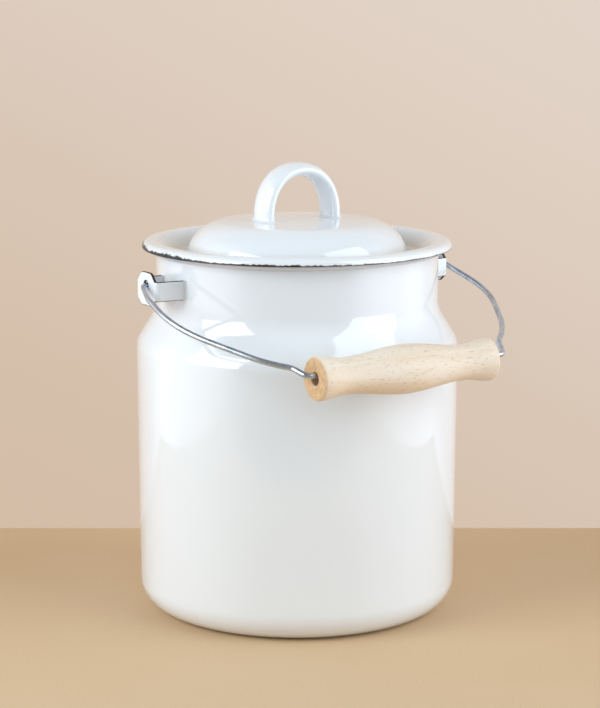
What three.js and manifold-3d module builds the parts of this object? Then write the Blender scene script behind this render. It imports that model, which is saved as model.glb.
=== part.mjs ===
// An enamelled milk pail with a lift-off lid, a wire bail and a turned wooden grip.
// Millimetres, +Z up. The origin is the middle of the flat base. The bail turns about the X direction
// and is folded down to the front, which is -Y.

import * as THREE from 'three';
import { mergeVertices } from 'three/addons/utils/BufferGeometryUtils.js';
import Module from 'manifold-3d';

const wasm = await Module();
wasm.setup();

// Sheet steel with enamel on both faces, and the gap that separate pieces keep
const SHEET = 1.2;
const GAP = 0.3;

// Pail body: outer radius and height of each corner of the wall, and the radius it is rounded to
const BASE_CORNER_RADIUS = 16;
const WALL_RADIUS_LOW = 88.9;
const WALL_RADIUS_HIGH = 89.9;
const SHOULDER_HEIGHT = 151.3;
const SHOULDER_RADIUS = 15.5;
const NECK_RADIUS = 78.6;
const NECK_HEIGHT = 169.1;
const NECK_FILLET = 18.9;
const BEAD_RADIUS = 2.6;
const BEAD_HEIGHT = 203.2;
const BEAD_SWEEP = THREE.MathUtils.degToRad(285);

// Lid: a domed cap, a corner arc, a trough that drops into the mouth, and a rim over the bead
const DOME_TOP = 218.6;
const DOME_CORNER_RADIUS = 22;
const DOME_CORNER_CENTRE = new THREE.Vector2(40, 195.5);
const DOME_FOOT_SLOPE = THREE.MathUtils.degToRad(20);
const TROUGH_HEIGHT = 198.8;
const TROUGH_FILLET = 2.5;
const TROUGH_WALL_FOOT = 68.5;
const RIM_INNER_RADIUS = 77.2;
const RIM_OUTER_RADIUS = 86;
const RIM_CREST = BEAD_HEIGHT + BEAD_RADIUS + GAP + SHEET;
const RIM_ROUND = 4.1;
const RIM_EDGE_HEIGHT = 203;

// Lid handle: a bent strap of oval section, filleted where its feet stand on the dome
const HANDLE_HALF_SPAN = 21.3;
const HANDLE_WIDTH = 18;
const HANDLE_THICKNESS = 7.9;
const HANDLE_SQUARENESS = 2.15;
const HANDLE_TOP = 249.9;
const HANDLE_FILLET = 2;
const HANDLE_FOOT = 218.3;
const HANDLE_SINK = 1;

// Ears: a plate with a hole for the bail, and two legs folded back to the neck
const PIVOT_HEIGHT = 188.2;
const EAR_FACE = 94.8;
const EAR_SHEET = 1.5;
const EAR_WIDTH = 23;
const EAR_ROOT_WIDTH = 26.2;
const EAR_FOLD_RADIUS = 2.5;
const EAR_HOLE_RADIUS = 2.8;
const EAR_LEG_TOP = 3;
const EAR_LEG_BOTTOM = -7.6;
const EAR_TOP = 7.3;
const EAR_BOTTOM = -10.8;
const EAR_SHOULDER = 9.5;
const EAR_SHOULDER_ROUND = 1;
const EAR_TIP = 5.5;
const EAR_TOP_ROUND = 4;
const EAR_BOTTOM_ROUND = 2;

// Bail: one wire, bent by hand, so that its two halves differ. Each half is given in the bail's own
// plane as the corners of its bow and of the jog before the straight run: across, reach, radius.
const WIRE_RADIUS = 1.55;
const BAIL_DROOP = THREE.MathUtils.degToRad(18.7);
const HOOK_RADIUS = 2.9;
const HOOK_TAIL = 7;
const BAIL_LEG = EAR_FACE + WIRE_RADIUS + GAP;
const BAIL_REACH = 112;
const LEFT_BOW = [
  [101.2, 16, 14],
  [103.5, 49.2, 62],
  [74, 93.3, 52],
  [62, 102.2, 3.5],
  [58.8, BAIL_REACH, 4.5],
];
const RIGHT_BOW = [
  [104, 41.4, 55],
  [84.1, 85.4, 75],
  [71.5, 97.3, 4],
  [64.2, BAIL_REACH, 4.5],
];

// Grip: turned wood with a bore, hanging on the wire so that the wire lies near the bore's top
const GRIP_LENGTH = 109;
const GRIP_END_RADIUS = 11.6;
const GRIP_WAIST_RADIUS = 9.6;
const GRIP_BELLY_RADIUS = 13;
const GRIP_WAIST = 37;
const GRIP_EDGE = 1.2;
const GRIP_BORE_RADIUS = 3.55;
const GRIP_DROP = GRIP_BORE_RADIUS - WIRE_RADIUS - GAP;

// Facets: how far a flat may leave a drawn arc, and how many flats go round each section
const CHORD_ERROR = 0.08;
const TURNED_SEGMENTS = 40;
const GRIP_SEGMENTS = 28;
const GRIP_STEPS = 20;
const HANDLE_SIDES = 16;
const HANDLE_STEPS = 24;
const HANDLE_FILLET_STEPS = 3;
const WIRE_SIDES = 10;

const ENAMEL = { color: 0xf1f3f6, roughness: 0.15, metalness: 0 };
const STEEL = { color: 0x8d9298, roughness: 0.35, metalness: 1 };
const BEECH = { color: 0xe3cba4, roughness: 0.6, metalness: 0 };

// Points along an arc that turns by the angle given, starting at start
function arcPoints(centre, start, turn) {
  const step = 2 * Math.acos(1 - CHORD_ERROR / start.distanceTo(centre));
  const count = Math.ceil(Math.abs(turn) / step);
  return Array.from({ length: count + 1 }, (_, i) => start.clone().rotateAround(centre, (turn * i) / count));
}

// One corner of an outline, rounded to its radius between its two neighbours
function roundedCorner(before, corner, after, radius) {
  const arriving = corner.clone().sub(before).normalize();
  const leaving = after.clone().sub(corner).normalize();
  const turn = Math.atan2(arriving.cross(leaving), arriving.dot(leaving));
  const tangent = radius * Math.tan(Math.abs(turn) / 2);
  const start = corner.clone().addScaledVector(arriving, -tangent);
  const inward = new THREE.Vector2(-arriving.y, arriving.x).multiplyScalar(Math.sign(turn));
  return arcPoints(start.clone().addScaledVector(inward, radius), start, turn);
}

// An outline through corners written [x, y, radius], where a corner with no radius stays sharp
function roundedPath(corners, closed = false) {
  const at = (i) => new THREE.Vector2().fromArray(corners.at(i % corners.length));
  return corners.flatMap(([, , radius], i) => {
    const isEnd = !closed && (i === 0 || i === corners.length - 1);
    return radius && !isEnd ? roundedCorner(at(i - 1), at(i), at(i + 1), radius) : [at(i)];
  });
}

// The same path moved sideways to its left; a point on the axis stays on it
function offsetPath(points, distance) {
  const side = (from, to) => new THREE.Vector2(from.y - to.y, to.x - from.x).normalize();
  return points.map((point, i) => {
    const before = side(points[Math.max(i - 1, 0)], points[Math.max(i, 1)]);
    const last = points.length - 1;
    const after = side(points[Math.min(i, last - 1)], points[Math.min(i + 1, last)]);
    const mitre = before.clone().add(after).normalize();
    const moved = point.clone().addScaledVector(mitre, distance / mitre.dot(after));
    return point.x === 0 ? moved.setX(0) : moved;
  });
}

// The closed outline of a sheet whose one face follows the path
function sheetOutline(path, thickness) {
  return [...path, ...offsetPath(path, thickness).reverse()];
}

// A solid turned about the Z axis from an outline of radius and height
function turned(outline) {
  return new THREE.LatheGeometry(outline, TURNED_SEGMENTS).rotateX(Math.PI / 2);
}

function toManifold(geometry) {
  const bare = geometry.clone();
  bare.deleteAttribute('normal');
  bare.deleteAttribute('uv');
  const merged = mergeVertices(bare);
  const vertProperties = new Float32Array(merged.attributes.position.array);
  const triVerts = new Uint32Array(merged.index.array);
  return new wasm.Manifold(new wasm.Mesh({ numProp: 3, vertProperties, triVerts }));
}

function fromManifold(solid) {
  const mesh = solid.getMesh();
  const geometry = new THREE.BufferGeometry();
  geometry.setAttribute('position', new THREE.BufferAttribute(mesh.vertProperties, 3));
  geometry.setIndex(new THREE.BufferAttribute(mesh.triVerts, 1));
  return geometry;
}

// A solid through rings of equally many points, closed flat at both ends
function lofted(rings) {
  const sides = rings[0].length;
  const end = (rings.length - 1) * sides;
  const index = [];
  for (let here = 0; here < end; here += 1) {
    const next = (here + 1) % sides ? here + 1 : here + 1 - sides;
    index.push(here, next, here + sides, next, next + sides, here + sides);
  }
  for (let side = 1; side < sides - 1; side += 1) {
    index.push(0, side + 1, side, end, end + side, end + side + 1);
  }
  const geometry = new THREE.BufferGeometry().setFromPoints(rings.flat());
  return geometry.setIndex(index);
}

// A rod of oval section along a path in one plane. The section is given half across and half along
// the plane at each point, and place carries a point of the plane, and its distance from it, to space.
function rod(path, sides, halfSection, place) {
  const beside = offsetPath(path, 1);
  return lofted(path.map((point, i) => Array.from({ length: sides }, (_, side) => {
    const angle = (2 * Math.PI * side) / sides;
    const [across, along] = halfSection(point);
    return place(point.clone().lerp(beside[i], along * Math.sin(angle)), across * Math.cos(angle));
  })));
}

// Base, tapered wall, shoulder and neck, then the mouth's edge rolled outward into an open bead
function pailBody() {
  const wall = roundedPath([
    [0, 0],
    [WALL_RADIUS_LOW, 0, BASE_CORNER_RADIUS],
    [WALL_RADIUS_HIGH, SHOULDER_HEIGHT, SHOULDER_RADIUS],
    [NECK_RADIUS, NECK_HEIGHT, NECK_FILLET],
    [NECK_RADIUS, BEAD_HEIGHT],
  ]);
  const curlCentre = new THREE.Vector2(NECK_RADIUS + BEAD_RADIUS - SHEET, BEAD_HEIGHT);
  const curl = arcPoints(curlCentre, wall.at(-1), -BEAD_SWEEP);
  return turned(sheetOutline([...wall, ...curl.slice(1)], SHEET));
}

// The cap is the sphere that passes through the dome's top and touches the corner arc
function domePath() {
  const { x: across, y: height } = DOME_CORNER_CENTRE;
  const drop = DOME_TOP - height;
  const capRadius = (across ** 2 + drop ** 2 - DOME_CORNER_RADIUS ** 2) / (2 * (drop - DOME_CORNER_RADIUS));
  const capCentre = new THREE.Vector2(0, DOME_TOP - capRadius);
  const capTurn = Math.atan2(across, height - capCentre.y);
  const cap = arcPoints(capCentre, new THREE.Vector2(0, DOME_TOP), -capTurn);
  const cornerTurn = Math.PI / 2 - capTurn - DOME_FOOT_SLOPE;
  return [...cap, ...arcPoints(DOME_CORNER_CENTRE, cap.at(-1), -cornerTurn).slice(1)];
}

function lidShell() {
  const dome = domePath();
  const domeEnd = dome.at(-1);
  const domeFoot = domeEnd.x + (domeEnd.y - TROUGH_HEIGHT) * Math.tan(DOME_FOOT_SLOPE);
  const rim = roundedPath([
    domeEnd.toArray(),
    [domeFoot, TROUGH_HEIGHT, TROUGH_FILLET],
    [TROUGH_WALL_FOOT, TROUGH_HEIGHT, TROUGH_FILLET * 2],
    [RIM_INNER_RADIUS, RIM_CREST, RIM_ROUND],
    [RIM_OUTER_RADIUS, RIM_CREST, RIM_ROUND],
    [RIM_OUTER_RADIUS, RIM_EDGE_HEIGHT],
  ]);
  const outline = sheetOutline([...dome, ...rim.slice(1)], -SHEET);
  return turned(outline.reverse());
}

// The strap's arch is a squared half ellipse on two short upright legs, cut off over the dome
function handlePath() {
  const foot = Array.from({ length: HANDLE_FILLET_STEPS + 1 }, (_, i) => {
    const angle = (Math.PI / 2) * (i / HANDLE_FILLET_STEPS);
    return new THREE.Vector2(-HANDLE_HALF_SPAN, HANDLE_FOOT + HANDLE_FILLET * (1 - Math.cos(angle)));
  });
  const springing = HANDLE_FOOT + HANDLE_FILLET;
  const rise = HANDLE_TOP - HANDLE_THICKNESS / 2 - springing;
  const power = 2 / HANDLE_SQUARENESS;
  const arch = Array.from({ length: HANDLE_STEPS - 1 }, (_, i) => {
    const angle = (Math.PI * (i + 1)) / HANDLE_STEPS;
    const across = -Math.sign(Math.cos(angle)) * Math.abs(Math.cos(angle)) ** power;
    return new THREE.Vector2(HANDLE_HALF_SPAN * across, springing + rise * Math.sin(angle) ** power);
  });
  const left = [new THREE.Vector2(-HANDLE_HALF_SPAN, HANDLE_FOOT - HANDLE_SINK), ...foot];
  const right = left.map((point) => new THREE.Vector2(-point.x, point.y)).reverse();
  return [...left, ...arch, ...right];
}

function lidHandle() {
  const halfSection = ({ y }) => {
    const up = THREE.MathUtils.clamp(y - HANDLE_FOOT, 0, HANDLE_FILLET);
    const flare = HANDLE_FILLET - Math.sqrt(up * (2 * HANDLE_FILLET - up));
    return [HANDLE_WIDTH / 2 + flare, HANDLE_THICKNESS / 2 + flare];
  };
  const place = (point, out) => new THREE.Vector3(point.x, out, point.y);
  const strap = rod(handlePath(), HANDLE_SIDES, halfSection, place);
  const over = offsetPath(domePath(), GAP);
  const floor = [0, over.at(-1).x].map((x) => new THREE.Vector2(x, TROUGH_HEIGHT));
  const dome = turned([...floor, ...over.reverse()]);
  return fromManifold(toManifold(strap).subtract(toManifold(dome)));
}

// An outline given a thickness along Z, with an optional hole
function upright(outline, depth, hole = null) {
  const shape = new THREE.Shape(outline);
  if (hole) {
    shape.holes.push(new THREE.Path(hole));
  }
  return new THREE.ExtrudeGeometry(shape, { depth, bevelEnabled: false });
}

// The left ear: the sheet folded to a channel in plan, trimmed to the plate's outline from the side
function ear() {
  const root = Math.sqrt((NECK_RADIUS + GAP) ** 2 - (EAR_ROOT_WIDTH / 2 - EAR_SHEET) ** 2);
  const folded = roundedPath([
    [-root, EAR_ROOT_WIDTH / 2],
    [-EAR_FACE, EAR_WIDTH / 2, EAR_FOLD_RADIUS],
    [-EAR_FACE, -EAR_WIDTH / 2, EAR_FOLD_RADIUS],
    [-root, -EAR_ROOT_WIDTH / 2],
  ]);
  const channel = upright(sheetOutline(folded, EAR_SHEET), EAR_TOP - EAR_BOTTOM)
    .translate(0, 0, PIVOT_HEIGHT + EAR_BOTTOM);

  const rightSide = [
    [EAR_ROOT_WIDTH, EAR_LEG_BOTTOM],
    [EAR_ROOT_WIDTH, EAR_LEG_TOP],
    [EAR_SHOULDER, EAR_LEG_TOP, EAR_SHOULDER_ROUND],
    [EAR_TIP, EAR_TOP, EAR_TOP_ROUND],
  ];
  const leftSide = rightSide.map(([y, z, radius]) => [-y, z, radius]).reverse();
  const foot = [
    [-EAR_SHOULDER, EAR_LEG_BOTTOM, EAR_SHOULDER_ROUND],
    [-EAR_TIP, EAR_BOTTOM, EAR_BOTTOM_ROUND],
    [EAR_TIP, EAR_BOTTOM, EAR_BOTTOM_ROUND],
    [EAR_SHOULDER, EAR_LEG_BOTTOM, EAR_SHOULDER_ROUND],
  ];
  const edge = roundedPath([...rightSide, ...leftSide, ...foot], true);
  const hole = arcPoints(new THREE.Vector2(), new THREE.Vector2(EAR_HOLE_RADIUS, 0), -2 * Math.PI);
  const trim = upright(edge, EAR_FACE, hole)
    .rotateX(Math.PI / 2)
    .rotateZ(Math.PI / 2)
    .translate(-EAR_FACE - GAP, 0, PIVOT_HEIGHT);
  return fromManifold(toManifold(channel).intersect(toManifold(trim)));
}

// A point of the bail's own plane, at rest. The pivot axis is at distance 0.
function onBailPlane(across, reach) {
  return new THREE.Vector3(
    across,
    -reach * Math.cos(BAIL_DROOP),
    PIVOT_HEIGHT - reach * Math.sin(BAIL_DROOP),
  );
}

// Half of the bail: the tail, the hook through the ear, and the bow up to the straight run
function halfBail(bow) {
  const tail = BAIL_LEG - 2 * HOOK_RADIUS;
  const hook = [
    [tail, HOOK_TAIL],
    [tail, 0, HOOK_RADIUS],
    [BAIL_LEG, 0, HOOK_RADIUS],
  ];
  return roundedPath([...hook, ...bow, [0, BAIL_REACH]]).slice(0, -1);
}

function bailWire() {
  const left = halfBail(LEFT_BOW).map((point) => new THREE.Vector2(-point.x, point.y));
  const right = halfBail(RIGHT_BOW).reverse();
  const normal = new THREE.Vector3(0, -Math.sin(BAIL_DROOP), Math.cos(BAIL_DROOP));
  const place = (point, out) => onBailPlane(point.x, point.y).addScaledVector(normal, out);
  return rod([...left, ...right], WIRE_SIDES, () => [WIRE_RADIUS, WIRE_RADIUS], place);
}

// The radius along half of the grip: a belly, a waist and a flared end, joined as half waves
function gripRadius(distance) {
  const wave = (low, high, share) => low + ((high - low) * (1 - Math.cos(Math.PI * share))) / 2;
  if (distance < GRIP_WAIST) {
    return wave(GRIP_BELLY_RADIUS, GRIP_WAIST_RADIUS, distance / GRIP_WAIST);
  }
  const flare = (distance - GRIP_WAIST) / (GRIP_LENGTH / 2 - GRIP_WAIST);
  return wave(GRIP_WAIST_RADIUS, GRIP_END_RADIUS, flare);
}

function gripSolid() {
  const half = GRIP_LENGTH / 2;
  const side = Array.from({ length: GRIP_STEPS + 1 }, (_, i) => {
    const along = THREE.MathUtils.lerp(-half + GRIP_EDGE, half - GRIP_EDGE, i / GRIP_STEPS);
    return new THREE.Vector2(gripRadius(Math.abs(along)), along);
  });
  const outline = [
    new THREE.Vector2(GRIP_BORE_RADIUS, -half),
    new THREE.Vector2(GRIP_END_RADIUS - GRIP_EDGE, -half),
    ...side,
    new THREE.Vector2(GRIP_END_RADIUS - GRIP_EDGE, half),
    new THREE.Vector2(GRIP_BORE_RADIUS, half),
    new THREE.Vector2(GRIP_BORE_RADIUS, -half),
  ];
  return new THREE.LatheGeometry(outline, GRIP_SEGMENTS).rotateZ(-Math.PI / 2);
}

function part(name, geometry, look) {
  const mesh = new THREE.Mesh(geometry, new THREE.MeshStandardMaterial(look));
  mesh.name = name;
  return mesh;
}

const pail = new THREE.Group();
const rightEar = part('ear_right', ear(), ENAMEL);
rightEar.rotation.z = Math.PI;
pail.add(part('pail_body', pailBody(), ENAMEL), part('ear_left', ear(), ENAMEL), rightEar);

const lid = new THREE.Group();
lid.add(part('lid_shell', lidShell(), ENAMEL), part('lid_handle', lidHandle(), ENAMEL));

const grip = part('grip', gripSolid(), BEECH);
grip.position.copy(onBailPlane(0, BAIL_REACH));
grip.position.z -= GRIP_DROP;

const group = new THREE.Group();
group.add(pail, lid, part('bail_wire', bailWire(), STEEL), grip);

export default group;
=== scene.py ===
"""Looks for the enamelled milk pail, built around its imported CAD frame, in metres."""

import math

import bmesh
import bpy
from mathutils import Matrix, Vector

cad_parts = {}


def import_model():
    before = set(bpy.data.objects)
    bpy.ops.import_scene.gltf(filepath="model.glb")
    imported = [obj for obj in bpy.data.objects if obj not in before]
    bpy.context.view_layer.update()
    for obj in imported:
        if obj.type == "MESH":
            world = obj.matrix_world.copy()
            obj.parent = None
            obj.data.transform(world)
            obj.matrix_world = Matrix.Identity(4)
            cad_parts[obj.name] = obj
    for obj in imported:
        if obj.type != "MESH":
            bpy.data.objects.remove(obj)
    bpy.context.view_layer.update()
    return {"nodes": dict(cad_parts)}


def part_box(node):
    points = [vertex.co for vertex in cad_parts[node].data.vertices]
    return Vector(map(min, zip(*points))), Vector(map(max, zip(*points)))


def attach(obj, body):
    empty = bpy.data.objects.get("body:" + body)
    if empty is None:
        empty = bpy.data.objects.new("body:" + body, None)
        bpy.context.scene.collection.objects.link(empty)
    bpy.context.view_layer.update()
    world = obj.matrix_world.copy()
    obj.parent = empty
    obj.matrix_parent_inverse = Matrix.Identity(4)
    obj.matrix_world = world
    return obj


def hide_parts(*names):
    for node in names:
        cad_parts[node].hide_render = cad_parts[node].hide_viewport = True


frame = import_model()
BOX = {node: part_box(node) for node in frame["nodes"]}
BODY_LOW, BODY_HIGH = BOX["pail_body"]
AXIS = (BODY_LOW + BODY_HIGH) / 2
FLOOR = BODY_LOW.z

MM = 0.001
SHEET = 1.2 * MM
TAU = 2 * math.pi

# Pail body, up from the floor
BASE_CORNER_RADIUS = 16 * MM
WALL_RADIUS_LOW = 88.9 * MM
WALL_RADIUS_HIGH = 89.9 * MM
SHOULDER_HEIGHT = FLOOR + 151.3 * MM
SHOULDER_RADIUS = 15.5 * MM
NECK_RADIUS = 78.6 * MM
NECK_HEIGHT = FLOOR + 169.1 * MM
NECK_FILLET = 18.9 * MM
BEAD_RADIUS = 2.6 * MM
BEAD_HEIGHT = BODY_HIGH.z - BEAD_RADIUS + 0.05 * MM
BEAD_SWEEP = math.radians(285)
# Painted shade on the bead: full within the first distance from the curl's end, gone beyond the second
BEAD_SHADE_FULL = 7.5 * MM
BEAD_SHADE_END = 13.5 * MM

# Lid
DOME_TOP = BOX["lid_shell"][1].z
DOME_CORNER_RADIUS = 22 * MM
DOME_CORNER_CENTRE = Vector((40 * MM, DOME_TOP - 23.1 * MM))
DOME_FOOT_SLOPE = math.radians(20)
TROUGH_HEIGHT = BOX["lid_shell"][0].z + SHEET
TROUGH_FILLET = 2.5 * MM
TROUGH_WALL_FOOT = 68.5 * MM
RIM_INNER_RADIUS = 77.2 * MM
RIM_OUTER_RADIUS = BOX["lid_shell"][1].x
RIM_CREST = DOME_TOP - 11.3 * MM
RIM_INNER_ROUND = 4.1 * MM
RIM_OUTER_ROUND = 3.5 * MM
RIM_EDGE_HEIGHT = DOME_TOP - 15.5 * MM
RIM_ALWAYS_BURNT = 0.6 * MM
# Painted shade in the trough: it starts just under the rim's crest and deepens over this height
TROUGH_SHADE_TOP = RIM_CREST - 1 * MM
TROUGH_SHADE_DEPTH = 5 * MM

# Lid handle
HANDLE_WIDTH = 18 * MM
HANDLE_THICKNESS = 7.9 * MM
HANDLE_HALF_SPAN = 21.3 * MM
HANDLE_SQUARENESS = 2.15
HANDLE_TOP = BOX["lid_handle"][1].z
HANDLE_FOOT = DOME_TOP - 0.45 * MM
HANDLE_FILLET = 2.2 * MM

# Ears
PIVOT_HEIGHT = FLOOR + 188.2 * MM
EAR_FACE = BOX["ear_right"][1].x
EAR_SHEET = 1.5 * MM
EAR_WIDTH = 23 * MM
EAR_ROOT_WIDTH = 26.2 * MM
EAR_FOLD_RADIUS = 2.5 * MM
EAR_ROOT_FILLET = 2.2 * MM
EAR_FLARE = 1.6 * EAR_ROOT_FILLET
EAR_HOLE_RADIUS = 2.8 * MM
EAR_SINK = 0.6 * MM
EAR_GAP_SINK = 0.9 * MM
EAR_WELD = 1.6 * MM
EAR_PLATE_DEPTH = 3 * MM
EAR_LEG_TOP = 3 * MM
EAR_LEG_BOTTOM = -7.6 * MM
EAR_TOP = BOX["ear_right"][1].z - PIVOT_HEIGHT
EAR_BOTTOM = BOX["ear_right"][0].z - PIVOT_HEIGHT
EAR_SHOULDER = 9.5 * MM
EAR_TIP = 5.5 * MM
EAR_NOTCH_ROUND = 1.2 * MM
EAR_TOP_ROUND = 4 * MM
EAR_BOTTOM_ROUND = 2.2 * MM
EAR_SOFT_EDGE = 0.35 * MM
EAR_SHARP = math.radians(40)
EAR_EDGE_FULL = 0.24 * MM
EAR_EDGE_END = 0.46 * MM

# Bail
WIRE_RADIUS = 1.55 * MM
BAIL_DROOP = math.radians(18.7)
HOOK_RADIUS = 2.9 * MM
HOOK_TAIL = 7 * MM
WIRE_END_SHARE = 0.8
BAIL_LEG = EAR_FACE + WIRE_RADIUS + 0.3 * MM
BAIL_REACH = 112 * MM
# Each bow's bends in mm: across from the middle, out from the pivot line, and the bend's radius
LEFT_BOW = [(101.2, 16, 14), (103.5, 49.2, 62), (74, 93.3, 52), (62, 102.2, 3.5), (58.8, 112, 4.5)]
RIGHT_BOW = [(104, 41.4, 55), (84.1, 85.4, 75), (71.5, 97.3, 4), (64.2, 112, 4.5)]

# Grip
GRIP_LOW, GRIP_HIGH = BOX["grip"]
GRIP_CENTRE = (GRIP_LOW + GRIP_HIGH) / 2
GRIP_HALF = (GRIP_HIGH.x - GRIP_LOW.x) / 2
GRIP_BELLY_RADIUS = (GRIP_HIGH.z - GRIP_LOW.z) / 2
GRIP_END_RADIUS = 11.6 * MM
GRIP_WAIST_RADIUS = 9.6 * MM
GRIP_WAIST = 37 * MM
GRIP_EDGE = 1.4 * MM
GRIP_BORE_RADIUS = 3.55 * MM
GRIP_BORE_EDGE = 0.5 * MM
GRIP_END_GRAIN = 0.9 * MM
GRIP_BORE_SHADE_START = 0.3 * MM
GRIP_BORE_SHADE_DEPTH = 1.2 * MM

# Facets
ARC_STEP = math.radians(5)
BEAD_STEP = math.radians(10)
CAP_STEP = math.radians(20)
TURNED_SEGMENTS = 256
WALL_FACET = 6 * MM
LID_FACET = 4 * MM
DOME_CAP_STEPS = 8
HANDLE_SIDES = 48
HANDLE_FOOT_STEPS = 12
HANDLE_ARCH_STEPS = 96
EAR_ARC_STEP = math.radians(12)
EAR_FACET = 0.8 * MM
EAR_EDGE_SEGMENTS = 3
DIVISIONS = 6
WIRE_SIDES = 24
WIRE_FACET = 5 * MM
GRIP_SEGMENTS = 96
GRIP_STEPS = 72
SEAM = 0.001 * MM
ON_AXIS = 0.0001 * MM

# Wall behind the pail, low and high, and the room that lights it
WALL_LOW = (0.655, 0.51, 0.39, 1)
WALL_HIGH = (0.76, 0.66, 0.58, 1)
ROOM_FRONT = (0.31, 0.30, 0.28, 1)
ROOM_SIDE = (1.42, 1.40, 1.46, 1)
LIGHT_AIM = 0.12

# Table top: how far it runs behind, before and to each side of the pail, and where its near tone ends
FLOOR_BEHIND = 0.155
FLOOR_BEFORE = 0.42
FLOOR_ASIDE = 0.5
FLOOR_NEAR_END = 0.35
FLOOR_NEAR = (0.65, 0.475, 0.30, 1)
FLOOR_FAR = (0.66, 0.44, 0.245, 1)
FLOOR_PALE = (0.69, 0.51, 0.33, 1)
FLOOR_FIBRE = (0.56, 0.39, 0.23, 1)

# Camera, as the photograph's: heading from +Y towards +X, and pitch below the horizon
CAMERA_HEADING = math.radians(31.5)
CAMERA_PITCH = math.radians(10.32)
CAMERA_DISTANCE = 1.209
CAMERA_HEIGHT = 0.3621
CAMERA_LENS = 111.3
CAMERA_SHIFT = 0.0042
CAMERA_NEAR = 0.05


# ---------- outlines ----------

def turned_by(vector, angle):
    return Matrix.Rotation(angle, 2) @ vector


def arc_points(centre, start, turn, step=ARC_STEP):
    count = max(1, math.ceil(abs(turn) / step))
    return [centre + turned_by(start - centre, turn * i / count) for i in range(count + 1)]


def rounded_corner(before, corner, after, radius, step=ARC_STEP):
    arriving = (corner - before).normalized()
    leaving = (after - corner).normalized()
    cross = arriving.x * leaving.y - arriving.y * leaving.x
    turn = math.atan2(cross, arriving.dot(leaving))
    start = corner - arriving * radius * math.tan(abs(turn) / 2)
    inward = Vector((-arriving.y, arriving.x)) * math.copysign(1, turn)
    return arc_points(start + inward * radius, start, turn, step)


def rounded_path(corners, closed=False, step=ARC_STEP):
    """The line through corners written (x, y) or (x, y, radius)."""
    points = []
    count = len(corners)
    for i, corner in enumerate(corners):
        here = Vector(corner[:2])
        is_end = not closed and i in (0, count - 1)
        if len(corner) == 3 and not is_end:
            before = Vector(corners[i - 1][:2])
            after = Vector(corners[(i + 1) % count][:2])
            points += rounded_corner(before, here, after, corner[2], step)
        else:
            points.append(here)
    return points


def offset_path(points, distance):
    """The same path moved sideways to its left."""
    def side(a, b):
        return Vector((a.y - b.y, b.x - a.x)).normalized()

    last = len(points) - 1
    moved = []
    for i, point in enumerate(points):
        before = side(points[max(i - 1, 0)], points[max(i, 1)])
        after = side(points[min(i, last - 1)], points[min(i + 1, last)])
        mitre = (before + after).normalized()
        new = point + mitre * (distance / mitre.dot(after))
        moved.append(Vector((0, new.y)) if point.x == 0 else new)
    return moved


def sheet_outline(path, thickness):
    """Both faces of a sheet that follows the path, joined round its free end, and that end's index."""
    other = offset_path(path, thickness)
    middle = (path[-1] + other[-1]) / 2
    cap = arc_points(middle, path[-1], math.copysign(math.pi, thickness), CAP_STEP)
    return path + cap[1:-1] + other[::-1], len(path) - 1 + len(cap) / 2


def spaced(points, longest):
    """The same line with its long straights divided."""
    dense = [points[0]]
    for a, b in zip(points, points[1:]):
        count = max(1, math.ceil((b - a).length / longest))
        dense += [a.lerp(b, i / count) for i in range(1, count + 1)]
    return dense


def mirrored(path):
    return [Vector((-point.x, point.y)) for point in path]


# ---------- meshes ----------

def piece(name, verts, faces, material, body, nodes):
    """A smooth visual piece that rides on a body and stands for CAD nodes."""
    mesh = bpy.data.meshes.new(name)
    mesh.from_pydata(verts, [], faces)
    mesh.validate()
    for polygon in mesh.polygons:
        polygon.use_smooth = True
    thing = bpy.data.objects.new(name, mesh)
    bpy.context.scene.collection.objects.link(thing)
    mesh.materials.append(material)
    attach(thing, body)
    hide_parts(*nodes)
    return thing


def mark(thing, name, values):
    """Gives each vertex a value that a material reads by name."""
    attribute = thing.data.attributes.new(name, "FLOAT", "POINT")
    attribute.data.foreach_set("value", values)


def turned(outline, segments=TURNED_SEGMENTS):
    """A (radius, height) outline turned about Z: vertices, faces and each vertex's outline index."""
    verts, rings, index = [], [], []
    for i, point in enumerate(outline):
        count = segments if point.x > ON_AXIS else 1
        rings.append(range(len(verts), len(verts) + count))
        for side in range(count):
            angle = TAU * side / segments
            verts.append((point.x * math.cos(angle), point.x * math.sin(angle), point.y))
            index.append(i)
    faces = []
    for low, high in zip(rings, rings[1:]):
        for side in range(segments):
            a, b = side, (side + 1) % segments
            corners = [low[a % len(low)], low[b % len(low)], high[b % len(high)], high[a % len(high)]]
            different = [c for n, c in enumerate(corners) if c not in corners[:n]]
            if len(different) > 2:
                faces.append(different)
    return verts, faces, index


def lofted(rings):
    """Vertices and faces of a solid through rings of equally many points, with flat ends."""
    sides = len(rings[0])
    verts = [point for ring in rings for point in ring]
    faces = []
    for ring in range(len(rings) - 1):
        for side in range(sides):
            here = ring * sides + side
            next_one = ring * sides + (side + 1) % sides
            faces.append((here, here + sides, next_one + sides, next_one))
    faces.append(tuple(range(sides)))
    faces.append(tuple(reversed(range(len(verts) - sides, len(verts)))))
    return verts, faces


def rod(path, sides, half_section, place):
    """An oval rod along a flat path; half_section gives half its width out of the plane and in it."""
    beside = offset_path(path, 1)
    rings = []
    for i, point in enumerate(path):
        half_out, half_in = half_section(i)
        ring = []
        for side in range(sides):
            angle = TAU * side / sides
            in_plane = point.lerp(beside[i], half_in * math.sin(angle))
            ring.append(place(in_plane, half_out * math.cos(angle)))
        rings.append(ring)
    return lofted(rings)


def outward(thing):
    """Closes any seam and turns every face outward."""
    bm = bmesh.new()
    bm.from_mesh(thing.data)
    bmesh.ops.remove_doubles(bm, verts=bm.verts, dist=SEAM)
    bmesh.ops.recalc_face_normals(bm, faces=bm.faces)
    bm.to_mesh(thing.data)
    bm.free()


# ---------- materials ----------

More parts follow.
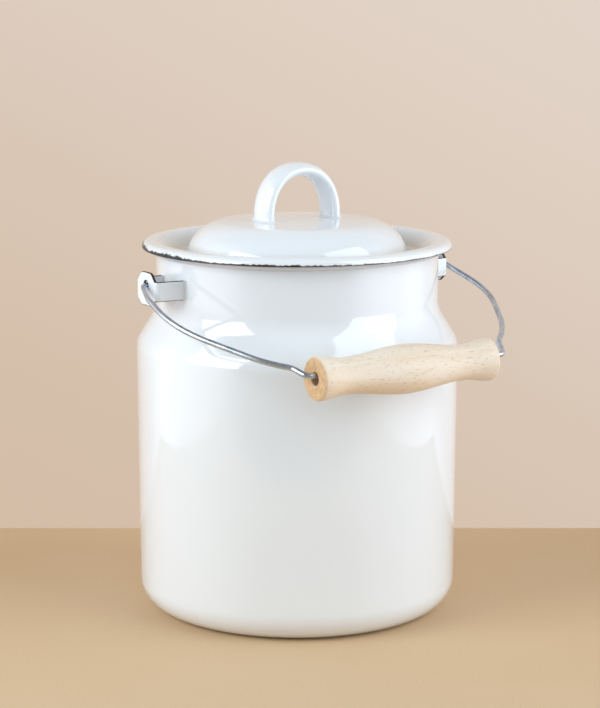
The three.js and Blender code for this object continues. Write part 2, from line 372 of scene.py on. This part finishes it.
class Nodes:
    """Short hand for the node tree of a new material or world."""

    def __init__(self, owner, shader="Principled BSDF"):
        owner.use_nodes = True
        self.owner = owner
        self.tree = owner.node_tree
        self.shader = self.tree.nodes[shader]

    def add(self, kind, values=(), **settings):
        node = self.tree.nodes.new(kind)
        for key, value in settings.items():
            setattr(node, key, value)
        for key, value in dict(values).items():
            self.put(node.inputs[key], value)
        return node

    def put(self, socket, value):
        if isinstance(value, bpy.types.NodeSocket):
            self.tree.links.new(value, socket)
        else:
            socket.default_value = value

    def set(self, **values):
        for key, value in values.items():
            self.put(self.shader.inputs[key.replace("_", " ")], value)

    def place(self, scale=(1, 1, 1)):
        coordinates = self.add("ShaderNodeTexCoord")
        mapping = self.add("ShaderNodeMapping", {"Vector": coordinates.outputs["Object"], "Scale": scale})
        return mapping.outputs["Vector"]

    def noise(self, scale, vector=None, detail=4, roughness=0.5, distortion=0):
        node = self.add("ShaderNodeTexNoise", {
            "Vector": vector or self.place(), "Scale": scale, "Detail": detail,
            "Roughness": roughness, "Distortion": distortion})
        return node.outputs["Fac"]

    def ramp(self, value, low, high, to_low=0.0, to_high=1.0):
        node = self.add("ShaderNodeMapRange", {
            "Value": value, "From Min": low, "From Max": high, "To Min": to_low, "To Max": to_high},
            interpolation_type="SMOOTHSTEP")
        return node.outputs["Result"]

    def math(self, operation, a, b=0.0):
        node = self.add("ShaderNodeMath", operation=operation)
        self.put(node.inputs[0], a)
        self.put(node.inputs[1], b)
        return node.outputs["Value"]

    def dot(self, a, b):
        node = self.add("ShaderNodeVectorMath", {0: a, 1: b}, operation="DOT_PRODUCT")
        return node.outputs["Value"]

    def mix(self, factor, a, b):
        node = self.add("ShaderNodeMix", data_type="RGBA")
        self.put(node.inputs["Factor"], factor)
        for socket, value in zip([s for s in node.inputs if s.type == "RGBA"], (a, b)):
            self.put(socket, value)
        return [s for s in node.outputs if s.type == "RGBA"][0]

    def bump(self, height, strength, distance, normal=None):
        """A normal tilted by a height, or by both that and an earlier normal."""
        node = self.add("ShaderNodeBump", {"Height": height, "Strength": strength, "Distance": distance})
        if normal:
            self.put(node.inputs["Normal"], normal)
        return node.outputs["Normal"]

    def attribute(self, name):
        return self.add("ShaderNodeAttribute", attribute_name=name).outputs["Fac"]


ENAMEL = (0.795, 0.825, 0.865, 1)
ENAMEL_WARM = (0.79, 0.82, 0.86, 1)
PINHOLE = (0.20, 0.19, 0.18, 1)
# Painted shade in the lid's trough, a warm grey
PAINTED_TROUGH_SHADE = (0.57, 0.55, 0.48, 1)
BURNT = (0.004, 0.004, 0.005, 1)
BURNT_THIN = (0.11, 0.115, 0.13, 1)
# Painted shade on the pail's bead, under the lid's rim, a bluish grey
BEAD_SHADE = (0.42, 0.44, 0.56, 1)
GROUND_COAT = (0.022, 0.019, 0.018, 1)
ENAMEL_IOR = 1.52
COAT = 0.8
COAT_ROUGHNESS = 0.02
COAT_IOR = 1.5

STEEL_PALE = (0.59, 0.655, 0.75, 1)
STEEL_DULL = (0.43, 0.49, 0.58, 1)
STEEL_LINE = (0.20, 0.21, 0.23, 1)

BEECH_PALE = (0.85, 0.745, 0.635, 1)
BEECH_BAND = (0.81, 0.66, 0.51, 1)
BEECH_GRAIN = (0.74, 0.565, 0.385, 1)
BEECH_FLECK = (0.52, 0.35, 0.20, 1)
BEECH_END = (0.68, 0.45, 0.26, 1)
BEECH_END_RING = (0.55, 0.34, 0.17, 1)
# Painted shade inside the grip's bore
BEECH_BORE_SHADE = (0.10, 0.055, 0.028, 1)
BEECH_SPECULAR = 0.35


def pinholes(n):
    """A small round spot in each of a few chosen cells of the surface."""
    cells = n.add("ShaderNodeTexVoronoi", {"Vector": n.place(), "Scale": 55.0, "Randomness": 1.0})
    cell_value = n.add("ShaderNodeSeparateColor", {"Color": cells.outputs["Color"]}).outputs["Red"]
    chosen = n.ramp(cell_value, 0.965, 0.97)
    return n.math("MULTIPLY", n.ramp(cells.outputs["Distance"], 0.024, 0.012), chosen)


def enamel(name, edge=None, painted_shade=None):
    """White enamel: faintly uneven, with a few pinholes. Its third argument paints shade on it, and edge
    marks where it is bare, or on the pail's bead where shade is painted.
    """
    n = Nodes(bpy.data.materials.new(name))
    cloud = n.noise(scale=14, detail=2)
    colour = n.mix(n.ramp(cloud, 0.35, 0.65), ENAMEL, ENAMEL_WARM)
    colour = n.mix(n.math("MULTIPLY", pinholes(n), 0.55), colour, PINHOLE)
    rough = n.ramp(n.noise(scale=60, detail=3), 0.3, 0.7, 0.06, 0.10)
    ripple = n.bump(n.noise(scale=22, detail=1), strength=0.3, distance=0.9 * MM)
    normal = n.bump(n.noise(scale=900, detail=2), strength=0.05, distance=0.1 * MM, normal=ripple)
    # Painted shade laid over the enamel, such as the trough's
    if painted_shade:
        colour = painted_shade(n, colour)
    if edge:
        mask, tone = edge(n)
        colour = n.mix(mask, colour, tone)
        rough = n.math("ADD", rough, n.math("MULTIPLY", mask, 0.35))
        normal = n.bump(mask, strength=0.5, distance=-0.2 * MM, normal=normal)
        n.set(Coat_Weight=n.ramp(mask, 0.0, 1.0, COAT, 0.0))
    else:
        n.set(Coat_Weight=COAT)
    n.set(Base_Color=colour, Roughness=rough, Normal=normal, IOR=ENAMEL_IOR)
    n.set(Coat_Roughness=COAT_ROUGHNESS, Coat_IOR=COAT_IOR)
    return n.owner


def rim_edge(n):
    """The lid's cut edge: black where the enamel is thick with iron or chipped, grey where it is thin."""
    ragged = n.noise(scale=420, detail=5, roughness=0.65)
    coarse = n.noise(scale=120, detail=2)
    fine_wobble = n.math("MULTIPLY", n.math("SUBTRACT", ragged, 0.5), 1.5)
    coarse_wobble = n.math("MULTIPLY", n.math("SUBTRACT", coarse, 0.5), 1.1)
    wobble = n.math("ADD", fine_wobble, coarse_wobble)
    reach = n.math("MULTIPLY", n.attribute("burnt"), n.math("ADD", wobble, 1.0))
    depth = n.math("DIVIDE", n.attribute("edge"), n.math("MAXIMUM", reach, 0.05 * MM))
    mask = n.ramp(depth, 1.15, 0.8)
    blackness = n.math("MULTIPLY", n.attribute("black"), n.ramp(ragged, 0.25, 0.5))
    return mask, n.mix(blackness, BURNT_THIN, BURNT)


def trough_painted_shade(n, colour):
    """Painted shade in the lid's trough: a warm grey, stronger deeper down in it."""
    return n.mix(n.math("MULTIPLY", n.attribute("trough"), 0.75), colour, PAINTED_TROUGH_SHADE)


def bead_painted_shade(n):
    """Painted shade on the pail's bead: a bluish grey over its curl, where the lid's rim overhangs it."""
    near = n.ramp(n.attribute("edge"), BEAD_SHADE_END, BEAD_SHADE_FULL)
    return n.math("MULTIPLY", near, 0.35), BEAD_SHADE


def ear_edge(n):
    """The ears' cut edges, where the dark ground coat shows."""
    ragged = n.math("MULTIPLY", n.math("SUBTRACT", n.noise(scale=500, detail=4), 0.5), 0.3 * MM)
    distance = n.math("ADD", n.attribute("edge"), ragged)
    return n.ramp(distance, EAR_EDGE_END, EAR_EDGE_FULL), GROUND_COAT


def steel():
    """Drawn steel wire, with fine lines along it and a little dullness."""
    n = Nodes(bpy.data.materials.new("steel_wire"))
    drawn = n.add("ShaderNodeCombineXYZ", {
        "X": n.math("MULTIPLY", n.attribute("along"), 60.0),
        "Y": n.math("MULTIPLY", n.attribute("around"), 26.0)})
    lines = n.noise(scale=1.0, vector=drawn.outputs["Vector"], detail=5, roughness=0.6)
    dull = n.ramp(n.noise(scale=160, detail=3), 0.35, 0.7)
    colour = n.mix(dull, STEEL_PALE, STEEL_DULL)
    colour = n.mix(n.ramp(lines, 0.62, 0.75), colour, STEEL_LINE)
    rough = n.ramp(lines, 0.3, 0.7, 0.20, 0.36)
    normal = n.bump(lines, strength=0.25, distance=0.1 * MM)
    n.set(Base_Color=colour, Metallic=1.0, Roughness=rough, Normal=normal)
    return n.owner


def streaks(n, along, across, **settings):
    """Noise drawn out along the grip, which lies along X."""
    return n.noise(scale=1.0, vector=n.place(scale=(along, across, across)), **settings)


def beech():
    """Turned beech: pale, with long soft grain, short dark flecks along it, warm end grain, and painted shade
    inside its bore.
    """
    n = Nodes(bpy.data.materials.new("beech"))
    grain = streaks(n, 14, 210, detail=4, roughness=0.6, distortion=0.6)
    bands = streaks(n, 7, 62, detail=2, distortion=0.9)
    flecks = n.ramp(streaks(n, 300, 1500, detail=2), 0.61, 0.69)
    rings = streaks(n, 40, 420, detail=3, distortion=1.0)
    colour = n.mix(n.ramp(bands, 0.32, 0.68), BEECH_PALE, BEECH_BAND)
    colour = n.mix(n.math("MULTIPLY", n.ramp(grain, 0.42, 0.66), 0.40), colour, BEECH_GRAIN)
    colour = n.mix(n.math("MULTIPLY", flecks, 0.6), colour, BEECH_FLECK)
    end_tone = n.mix(n.ramp(rings, 0.35, 0.65), BEECH_END, BEECH_END_RING)
    colour = n.mix(n.attribute("end"), colour, end_tone)
    # Painted shade inside the bore
    colour = n.mix(n.attribute("depth"), colour, BEECH_BORE_SHADE)
    rough = n.ramp(grain, 0.3, 0.7, 0.48, 0.60)
    height = n.math("SUBTRACT", grain, n.math("MULTIPLY", flecks, 0.8))
    normal = n.bump(height, strength=0.35, distance=0.18 * MM)
    n.set(Base_Color=colour, Roughness=rough, Normal=normal, Specular_IOR_Level=BEECH_SPECULAR)
    return n.owner


# ---------- pieces ----------

def lengths_along(path):
    """Each point's distance along the path from its start."""
    total = [0.0]
    for a, b in zip(path, path[1:]):
        total.append(total[-1] + (b - a).length)
    return total


def distances_from(outline, place):
    """Each point's distance along the outline from a place on it, written as a point's index."""
    lengths = lengths_along(outline)
    low = math.floor(place)
    high = min(low + 1, len(outline) - 1)
    start = lengths[low] + (lengths[high] - lengths[low]) * (place - low)
    return [abs(length - start) for length in lengths]


def pail_body(material):
    wall = rounded_path([
        (0, FLOOR),
        (WALL_RADIUS_LOW, FLOOR, BASE_CORNER_RADIUS),
        (WALL_RADIUS_HIGH, SHOULDER_HEIGHT, SHOULDER_RADIUS),
        (NECK_RADIUS, NECK_HEIGHT, NECK_FILLET),
        (NECK_RADIUS, BEAD_HEIGHT),
    ])
    curl_centre = Vector((NECK_RADIUS + BEAD_RADIUS - SHEET, BEAD_HEIGHT))
    curl = arc_points(curl_centre, wall[-1], -BEAD_SWEEP, BEAD_STEP)
    outline, edge = sheet_outline(spaced(wall, WALL_FACET) + curl[1:], SHEET)
    verts, faces, index = turned(outline)
    thing = piece("visual_pail_body", verts, faces, material, "pail", ["pail_body"])
    # The distance from the curl's end also places the painted shade on the bead
    to_edge = distances_from(outline, edge)
    mark(thing, "edge", [to_edge[i] for i in index])
    outward(thing)


def dome_path():
    """The dome's outline: a shallow cap, and a tighter arc down to the slope of its foot."""
    across, height = DOME_CORNER_CENTRE
    drop = DOME_TOP - height
    cap_radius = (across ** 2 + drop ** 2 - DOME_CORNER_RADIUS ** 2) / (2 * (drop - DOME_CORNER_RADIUS))
    cap_centre = Vector((0, DOME_TOP - cap_radius))
    cap_turn = math.atan2(across, height - cap_centre.y)
    cap = arc_points(cap_centre, Vector((0, DOME_TOP)), -cap_turn, cap_turn / DOME_CAP_STEPS)
    corner_turn = math.pi / 2 - cap_turn - DOME_FOOT_SLOPE
    return cap + arc_points(DOME_CORNER_CENTRE, cap[-1], -corner_turn)[1:]


# The lid's burnt edge: degrees from the front towards the right, mm beyond RIM_ALWAYS_BURNT, and
# blackness
RIM_WEAR = [
    (-180, 0.7, 0.3), (-125, 1.6, 0.3), (-100, 3.2, 0.4), (-84, 3.2, 0.45), (-75, 2.2, 0.7),
    (-66, 1.8, 0.9), (-56, 2.0, 1.0), (-46, 1.6, 1.0), (-39, 0.9, 0.6), (-24, 0.8, 0.45),
    (-16, 1.0, 1.0), (-6, 1.0, 1.0), (12, 0.8, 0.7), (26, 0.6, 0.25), (40, 0.5, 0.1),
    (80, 0.5, 0.1), (120, 0.6, 0.3), (180, 0.7, 0.3),
]


def rim_wear(angle):
    """The burnt edge's extra height and its blackness at an angle from the front."""
    for (a, high_a, black_a), (b, high_b, black_b) in zip(RIM_WEAR, RIM_WEAR[1:]):
        if a <= angle <= b:
            share = (angle - a) / (b - a)
            share = share * share * (3 - 2 * share)
            return high_a + (high_b - high_a) * share, black_a + (black_b - black_a) * share
    return RIM_WEAR[0][1:]


def mark_rim_wear(thing, verts):
    """Marks how high and how black the rim is burnt, round from the side that faces the camera."""
    front = -math.pi / 2 - CAMERA_HEADING
    wears = []
    for x, y, _ in verts:
        angle = math.degrees(math.atan2(y, x) - front)
        wears.append(rim_wear((angle + 180) % 360 - 180))
    mark(thing, "burnt", [high * MM + RIM_ALWAYS_BURNT for high, _ in wears])
    mark(thing, "black", [black for _, black in wears])


# Sets how strong the trough's painted shade is at each point
def trough_depth(point):
    """How deep in the lid's trough a point of its outline lies, from 0 near the rim's crest to 1."""
    if DOME_CORNER_CENTRE.x < point.x < RIM_INNER_RADIUS:
        return min(1, max(0, (TROUGH_SHADE_TOP - point.y) / TROUGH_SHADE_DEPTH))
    return 0


def lid_shell(material):
    dome = dome_path()
    end = dome[-1]
    foot = end.x + (end.y - TROUGH_HEIGHT) * math.tan(DOME_FOOT_SLOPE)
    rim = rounded_path([
        tuple(end),
        (foot, TROUGH_HEIGHT, TROUGH_FILLET),
        (TROUGH_WALL_FOOT, TROUGH_HEIGHT, TROUGH_FILLET * 2),
        (RIM_INNER_RADIUS, RIM_CREST, RIM_INNER_ROUND),
        (RIM_OUTER_RADIUS, RIM_CREST, RIM_OUTER_ROUND),
        (RIM_OUTER_RADIUS, RIM_EDGE_HEIGHT + SHEET / 2),
    ])
    outline, edge = sheet_outline(spaced(dome + rim[1:], LID_FACET), -SHEET)
    verts, faces, index = turned(outline)
    thing = piece("visual_lid_shell", verts, faces, material, "lid", ["lid_shell"])
    to_edge = distances_from(outline, edge)
    mark(thing, "edge", [to_edge[i] for i in index])
    # Where the trough's painted shade goes
    mark(thing, "trough", [trough_depth(outline[i]) for i in index])
    mark_rim_wear(thing, verts)
    outward(thing)


def handle_path():
    """The strap's middle line: two short upright feet and a squarish arch between them."""
    foot = []
    for i in range(HANDLE_FOOT_STEPS + 1):
        up = HANDLE_FILLET * (1 - math.cos(math.pi / 2 * i / HANDLE_FOOT_STEPS))
        foot.append(Vector((-HANDLE_HALF_SPAN, HANDLE_FOOT + up)))
    springing = HANDLE_FOOT + HANDLE_FILLET
    rise = HANDLE_TOP - HANDLE_THICKNESS / 2 - springing
    power = 2 / HANDLE_SQUARENESS
    arch = []
    for i in range(1, HANDLE_ARCH_STEPS):
        angle = math.pi * i / HANDLE_ARCH_STEPS
        across = -math.copysign(abs(math.cos(angle)) ** power, math.cos(angle))
        arch.append(Vector((HANDLE_HALF_SPAN * across, springing + rise * math.sin(angle) ** power)))
    return foot + arch + mirrored(reversed(foot))


def lid_handle(material):
    path = handle_path()

    def half_section(i):
        up = min(max(path[i].y - HANDLE_FOOT, 0), HANDLE_FILLET)
        flare = HANDLE_FILLET - math.sqrt(up * (2 * HANDLE_FILLET - up))
        return HANDLE_WIDTH / 2 + flare, HANDLE_THICKNESS / 2 + flare

    verts, faces = rod(path, HANDLE_SIDES, half_section, lambda p, out: (p.x, out, p.y))
    thing = piece("visual_lid_handle", verts, faces, material, "lid", ["lid_handle"])
    outward(thing)


def extruded(name, outline, start, depth):
    """A scratch prism: the outline in X and Y, run along Z from start."""
    count = len(outline)
    verts = [(p.x, p.y, z) for z in (start, start + depth) for p in outline]
    faces = [(i, (i + 1) % count, count + (i + 1) % count, count + i) for i in range(count)]
    faces += [tuple(reversed(range(count))), tuple(range(count, 2 * count))]
    mesh = bpy.data.meshes.new(name)
    mesh.from_pydata(verts, [], faces)
    thing = bpy.data.objects.new(name, mesh)
    bpy.context.scene.collection.objects.link(thing)
    return thing


def applied(thing):
    """The thing's mesh with its modifiers carried out."""
    graph = bpy.context.evaluated_depsgraph_get()
    return bpy.data.meshes.new_from_object(thing.evaluated_get(graph))


def divided(mesh, longest):
    """Splits a mesh's long edges in half a few times over, so that a value marked on it stays local."""
    bm = bmesh.new()
    bm.from_mesh(mesh)
    bmesh.ops.triangulate(bm, faces=bm.faces)
    for _ in range(DIVISIONS):
        long_edges = [edge for edge in bm.edges if edge.calc_length() > longest]
        bmesh.ops.subdivide_edges(bm, edges=long_edges, cuts=1)
        bmesh.ops.triangulate(bm, faces=bm.faces)
    bm.to_mesh(mesh)
    bm.free()


def ear_side_outline():
    """The plate and legs seen from the side, as (y, z) about the pivot."""
    right = [
        (EAR_ROOT_WIDTH, EAR_LEG_BOTTOM),
        (EAR_ROOT_WIDTH, EAR_LEG_TOP),
        (EAR_SHOULDER, EAR_LEG_TOP, EAR_NOTCH_ROUND),
        (EAR_TIP, EAR_TOP, EAR_TOP_ROUND),
    ]
    left = [(-c[0],) + c[1:] for c in reversed(right)]
    foot = [
        (-EAR_SHOULDER, EAR_LEG_BOTTOM, EAR_NOTCH_ROUND),
        (-EAR_TIP, EAR_BOTTOM, EAR_BOTTOM_ROUND),
        (EAR_TIP, EAR_BOTTOM, EAR_BOTTOM_ROUND),
        (EAR_SHOULDER, EAR_LEG_BOTTOM, EAR_NOTCH_ROUND),
    ]
    return rounded_path(right + left + foot, closed=True, step=EAR_ARC_STEP)


def ear_plan_outline():
    """The folded sheet seen from above, its two legs flared where they meet the neck."""
    half_root = EAR_ROOT_WIDTH / 2
    half_face = EAR_WIDTH / 2
    root_x = math.sqrt(NECK_RADIUS ** 2 - half_root ** 2)
    half_flare = half_root + EAR_FLARE
    flare_x = math.sqrt((NECK_RADIUS - EAR_SINK) ** 2 - half_flare ** 2)
    outer = rounded_path([
        (flare_x, half_flare),
        (root_x, half_root, EAR_ROOT_FILLET),
        (EAR_FACE, half_face, EAR_FOLD_RADIUS),
        (EAR_FACE, -half_face, EAR_FOLD_RADIUS),
        (root_x, -half_root, EAR_ROOT_FILLET),
        (flare_x, -half_flare),
    ], step=EAR_ARC_STEP)
    half_gap = half_root - EAR_SHEET
    gap_x = math.sqrt((NECK_RADIUS - EAR_GAP_SINK) ** 2 - half_gap ** 2)
    back = EAR_FACE - EAR_SHEET
    half_back = half_face - EAR_SHEET
    inner = rounded_path([
        (gap_x, -half_gap),
        (back, -half_back, EAR_FOLD_RADIUS - EAR_SHEET),
        (back, half_back, EAR_FOLD_RADIUS - EAR_SHEET),
        (gap_x, half_gap),
    ], step=EAR_ARC_STEP)
    return outer + inner


def cut_by(thing, tool, operation):
    """Adds a boolean with a tool, whose faces are turned outward first."""
    outward(tool)
    cut = thing.modifiers.new(operation, "BOOLEAN")
    cut.object = tool
    cut.operation = operation
    cut.solver = "EXACT"


def ear_mesh():
    """The right ear about the pivot: folded in plan, trimmed from the side, its edges softened."""
    spare = 1 * MM
    legs = 35 * MM
    drill_reach = 10 * MM
    plan = ear_plan_outline()
    channel = extruded("scratch_channel", plan, EAR_BOTTOM - spare, EAR_TOP - EAR_BOTTOM + 2 * spare)
    trim = extruded("scratch_trim", ear_side_outline(), EAR_FACE - legs, legs + spare)
    hole = arc_points(Vector((0, 0)), Vector((EAR_HOLE_RADIUS, 0)), TAU, EAR_ARC_STEP)[:-1]
    drill = extruded("scratch_drill", hole, EAR_FACE - drill_reach, drill_reach + spare)
    to_side = Matrix(((0, 0, 1, 0), (1, 0, 0, 0), (0, 1, 0, 0), (0, 0, 0, 1)))
    trim.data.transform(to_side)
    drill.data.transform(to_side)
    cut_by(channel, trim, "INTERSECT")
    cut_by(channel, drill, "DIFFERENCE")
    outward(channel)
    soft = channel.modifiers.new("soft", "BEVEL")
    soft.width = EAR_SOFT_EDGE
    soft.segments = EAR_EDGE_SEGMENTS
    soft.limit_method = "ANGLE"
    soft.angle_limit = EAR_SHARP
    soft.use_clamp_overlap = False
    bpy.context.view_layer.update()
    mesh = applied(channel)
    divided(mesh, EAR_FACET)
    for scratch in (channel, trim, drill):
        bpy.data.objects.remove(scratch)
    return mesh


def distance_to(point, a, b):
    """How far a point lies from the line between a and b."""
    along = b - a
    share = max(0, min(1, (point - a).dot(along) / max(along.length_squared, 1e-12)))
    return (point - a - along * share).length


def to_ear_edge(point, outline):
    """A point's distance from the ear's nearest cut edge, raised where the legs are welded on."""
    from_side = Vector((point.y, point.z))
    nearest = min(distance_to(from_side, a, b) for a, b in zip(outline, outline[1:]))
    if point.x > EAR_FACE - EAR_PLATE_DEPTH:
        nearest = min(nearest, abs(from_side.length - EAR_HOLE_RADIUS))
    from_neck = math.hypot(point.x, point.y) - NECK_RADIUS
    return nearest + max(0, EAR_WELD - from_neck)


def ear(mesh, side, material):
    """The right ear's mesh put in its place, or turned half round for the left ear."""
    name = "ear_right" if side > 0 else "ear_left"
    turn = Matrix.Rotation(0 if side > 0 else math.pi, 4, "Z")
    place = Matrix.Translation((AXIS.x, AXIS.y, PIVOT_HEIGHT)) @ turn
    verts = [place @ v.co for v in mesh.vertices]
    faces = [tuple(p.vertices) for p in mesh.polygons]
    thing = piece("visual_" + name, verts, faces, material, "pail", [name])
    outline = ear_side_outline()
    outline.append(outline[0])
    mark(thing, "edge", [to_ear_edge(v.co, outline) for v in mesh.vertices])
    outward(thing)
    normals = thing.modifiers.new("normals", "WEIGHTED_NORMAL")
    normals.keep_sharp = False


def on_bail_plane(across, reach, out):
    """A point across the bail and a reach from its pivot line, moved out of the bail's drooping plane."""
    up = PIVOT_HEIGHT - reach * math.sin(BAIL_DROOP) + out * math.cos(BAIL_DROOP)
    return (across, -reach * math.cos(BAIL_DROOP) - out * math.sin(BAIL_DROOP), up)


def half_bail(bow):
    """One side of the bail: its hook, its bow and the bend into the straight run through the grip."""
    tail = BAIL_LEG - 2 * HOOK_RADIUS
    corners = [(tail, HOOK_TAIL), (tail, 0, HOOK_RADIUS), (BAIL_LEG, 0, HOOK_RADIUS)]
    corners += [(x * MM, y * MM, radius * MM) for x, y, radius in bow]
    return rounded_path(corners + [(0, BAIL_REACH)])[:-1]


def bail_wire(material):
    path = spaced(mirrored(half_bail(LEFT_BOW)) + half_bail(RIGHT_BOW)[::-1], WIRE_FACET)
    ends = (0, len(path) - 1)

    def half_section(i):
        radius = WIRE_RADIUS * (WIRE_END_SHARE if i in ends else 1)
        return radius, radius

    verts, faces = rod(path, WIRE_SIDES, half_section, lambda p, out: on_bail_plane(p.x, p.y, out))
    thing = piece("visual_bail_wire", verts, faces, material, "bail", ["bail_wire"])
    along = lengths_along(path)
    mark(thing, "along", [along[i // WIRE_SIDES] for i in range(len(verts))])
    mark(thing, "around", [abs(1 - 2 * (i % WIRE_SIDES) / WIRE_SIDES) for i in range(len(verts))])
    outward(thing)


def grip_radius(distance):
    """The grip's radius at a distance from its middle: a belly, a waist and a wider end."""
    def wave(low, high, share):
        return low + (high - low) * (1 - math.cos(math.pi * share)) / 2

    if distance < GRIP_WAIST:
        return wave(GRIP_BELLY_RADIUS, GRIP_WAIST_RADIUS, distance / GRIP_WAIST)
    return wave(GRIP_WAIST_RADIUS, GRIP_END_RADIUS, (distance - GRIP_WAIST) / (GRIP_HALF - GRIP_WAIST))


def grip_outline():
    """From the middle of the bore round the turned outside and back, as (radius, along)."""
    side = []
    for i in range(1, GRIP_STEPS):
        along = (GRIP_HALF - GRIP_EDGE) * (2 * i / GRIP_STEPS - 1)
        side.append((grip_radius(abs(along)), along))
    return rounded_path([
        (GRIP_BORE_RADIUS, 0),
        (GRIP_BORE_RADIUS, -GRIP_HALF, GRIP_BORE_EDGE),
        (GRIP_END_RADIUS, -GRIP_HALF, GRIP_EDGE),
        *side,
        (GRIP_END_RADIUS, GRIP_HALF, GRIP_EDGE),
        (GRIP_BORE_RADIUS, GRIP_HALF, GRIP_BORE_EDGE),
        (GRIP_BORE_RADIUS, 0),
    ])


def bore_depth(radius, from_end):
    """How far into the bore's shade a point lies, from 0 at its mouth and outside it to 1."""
    if radius < GRIP_BORE_RADIUS + 0.2 * MM:
        return min(1, max(0, (from_end - GRIP_BORE_SHADE_START) / GRIP_BORE_SHADE_DEPTH))
    return 0


def grip(material):
    outline = grip_outline()
    verts, faces, index = turned(outline, GRIP_SEGMENTS)
    to_place = Matrix.Translation(GRIP_CENTRE) @ Matrix.Rotation(math.pi / 2, 4, "Y")
    placed = [to_place @ Vector(v) for v in verts]
    thing = piece("visual_grip", placed, faces, material, "grip", ["grip"])
    from_ends = [GRIP_HALF - abs(outline[i].y) for i in index]
    mark(thing, "end", [max(0, 1 - from_end / GRIP_END_GRAIN) for from_end in from_ends])
    # Marks the painted shade inside the bore
    mark(thing, "depth", [bore_depth(outline[i].x, from_end) for i, from_end in zip(index, from_ends)])
    outward(thing)


# ---------- stage ----------

HEADING = Vector((math.sin(CAMERA_HEADING), math.cos(CAMERA_HEADING), 0))
RIGHTWARD = Vector((HEADING.y, -HEADING.x, 0))


def camera():
    data = bpy.data.cameras.new("camera")
    data.lens = CAMERA_LENS
    data.shift_x = CAMERA_SHIFT
    data.clip_start = CAMERA_NEAR
    thing = bpy.data.objects.new("camera", data)
    thing.location = Vector((AXIS.x, AXIS.y, FLOOR + CAMERA_HEIGHT)) - HEADING * CAMERA_DISTANCE
    thing.rotation_euler = (math.pi / 2 - CAMERA_PITCH, 0, -CAMERA_HEADING)
    bpy.context.scene.collection.objects.link(thing)
    bpy.context.scene.camera = thing


def card():
    """Brown card with short fibres, a little darker and redder towards its back edge."""
    n = Nodes(bpy.data.materials.new("floor"))
    fibres = n.noise(scale=700, detail=4, roughness=0.7)
    patches = n.noise(scale=9, detail=3)
    ahead = n.dot(n.place(), HEADING)
    colour = n.mix(n.ramp(ahead, -FLOOR_NEAR_END, FLOOR_BEHIND), FLOOR_NEAR, FLOOR_FAR)
    colour = n.mix(n.math("MULTIPLY", n.ramp(patches, 0.3, 0.7), 0.3), colour, FLOOR_PALE)
    colour = n.mix(n.math("MULTIPLY", n.ramp(fibres, 0.45, 0.75), 0.25), colour, FLOOR_FIBRE)
    n.set(Base_Color=colour, Roughness=n.ramp(fibres, 0.3, 0.7, 0.55, 0.75))
    n.set(Normal=n.bump(fibres, strength=0.2, distance=0.3 * MM))
    return n.owner


def floor():
    """A table top whose straight back edge runs a little behind the pail."""
    foot = Vector((AXIS.x, AXIS.y, FLOOR))
    near = foot - HEADING * FLOOR_BEFORE
    far = foot + HEADING * FLOOR_BEHIND
    left, right = -RIGHTWARD * FLOOR_ASIDE, RIGHTWARD * FLOOR_ASIDE
    mesh = bpy.data.meshes.new("floor")
    mesh.from_pydata([near + left, near + right, far + right, far + left], [], [(0, 1, 2, 3)])
    mesh.materials.append(card())
    thing = bpy.data.objects.new("floor", mesh)
    bpy.context.scene.collection.objects.link(thing)


def softbox(name, azimuth, elevation, distance, size, power, colour):
    """An area light that faces the pail, at an azimuth to the camera's right and an elevation, in degrees."""
    a, e = math.radians(azimuth), math.radians(elevation)
    level = RIGHTWARD * math.sin(a) - HEADING * math.cos(a)
    away = level * math.cos(e) + Vector((0, 0, math.sin(e)))
    data = bpy.data.lights.new(name, "AREA")
    data.shape = "RECTANGLE"
    data.size, data.size_y = size
    data.energy = power
    data.color = colour
    thing = bpy.data.objects.new(name, data)
    thing.location = Vector((AXIS.x, AXIS.y, FLOOR + LIGHT_AIM)) + away * distance
    thing.rotation_euler = (-away).to_track_quat("-Z", "Y").to_euler()
    thing.visible_camera = False
    bpy.context.scene.collection.objects.link(thing)


def world():
    """A pale room. Its two sides give most of the light, and the view past the pail is a warm wall."""
    surround = bpy.data.worlds.new("surround")
    bpy.context.scene.world = surround
    n = Nodes(surround, "Background")
    direction = n.add("ShaderNodeTexCoord").outputs["Generated"]
    upward = n.dot(direction, Vector((0, 0, 1)) + RIGHTWARD * 0.5)
    sideways = n.math("ABSOLUTE", n.dot(direction, RIGHTWARD))
    wall = n.mix(n.ramp(upward, -0.33, 0.08), WALL_LOW, WALL_HIGH)
    room = n.mix(n.ramp(sideways, 0.55, 0.95), ROOM_FRONT, ROOM_SIDE)
    lighting = n.mix(n.ramp(n.dot(direction, HEADING), 0.25, 0.7), room, wall)
    seen = n.add("ShaderNodeLightPath").outputs["Is Camera Ray"]
    n.set(Color=n.mix(seen, lighting, wall))


camera()
world()
floor()
softbox("window_left", azimuth=-60, elevation=24, distance=1.5, size=(1.05, 0.95),
        power=15.2, colour=(0.81, 0.94, 1.0))
softbox("window_right", azimuth=63, elevation=24, distance=1.6, size=(1.25, 1.8),
        power=18.5, colour=(0.80, 0.93, 1.0))

pail_body(enamel("enamel_body", bead_painted_shade))
lid_shell(enamel("enamel_lid", rim_edge, trough_painted_shade))
lid_handle(enamel("enamel_white"))
plate = ear_mesh()
ear_enamel = enamel("enamel_ears", ear_edge)
for side in (-1, 1):
    ear(plate, side, ear_enamel)
bail_wire(steel())
grip(beech())

bpy.context.scene.view_settings.view_transform = "Standard"
